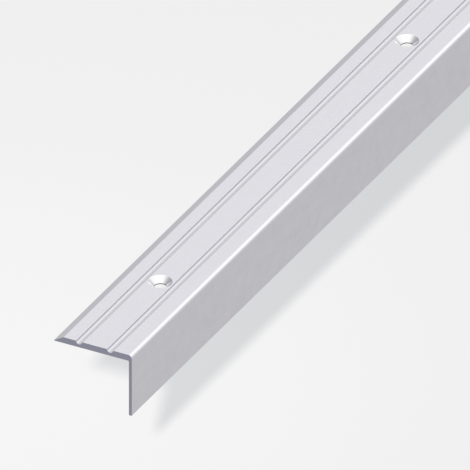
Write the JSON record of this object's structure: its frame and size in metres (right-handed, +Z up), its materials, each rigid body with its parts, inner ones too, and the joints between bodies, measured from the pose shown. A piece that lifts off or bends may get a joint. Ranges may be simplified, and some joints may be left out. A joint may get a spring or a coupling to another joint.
{
  "type": "step edge strip",
  "caption": "Angle-shaped anodised aluminium strip that covers the front edge of a step or threshold, with a grooved tread leg, countersunk screw holes and a thin front lip.",
  "frame": {"origin": "inner corner of the angle, half way along the strip, where the edge of the step sits", "axes": "+Z up out of the tread face, +X forwards out of the front of the lip, +Y along the strip"},
  "size_m": [0.025, 1, 0.02],
  "materials": {
    "anodised_aluminium": "silver anodised, satin, with fine die lines along the extrusion; the sawn ends are darker and matt, and the countersinks are bright"
  },
  "bodies": {
    "root": {"nosing_profile": "anodised_aluminium"}
  },
  "joints": []
}
